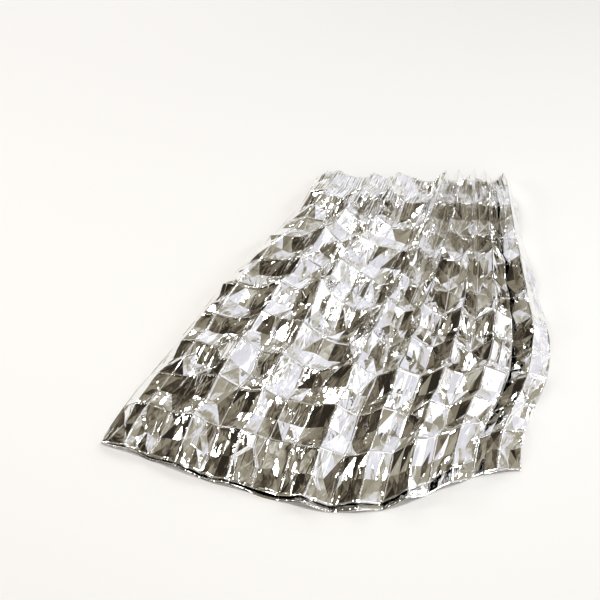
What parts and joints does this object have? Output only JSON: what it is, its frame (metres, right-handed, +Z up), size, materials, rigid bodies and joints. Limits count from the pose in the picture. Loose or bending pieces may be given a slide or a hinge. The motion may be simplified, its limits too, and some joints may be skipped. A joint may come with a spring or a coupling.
{
  "type": "emergency foil blanket",
  "caption": "Crinkled silver foil blanket, folded over and laid on the floor as a fan, with sharp pack folds and a gathered edge.",
  "frame": {"origin": "middle of the box round the sheet, on the floor that it lies on", "axes": "+Z up, +Y towards the gathered long edge, +X from the turned edge towards the open side"},
  "size_m": [1.0813, 1.2394, 0.134],
  "materials": {
    "metallised_film": "bright metallised plastic film, mirror-like, crinkled, with sharp pack folds"
  },
  "bodies": {
    "root": {"foil_sheet": "metallised_film"}
  },
  "joints": []
}
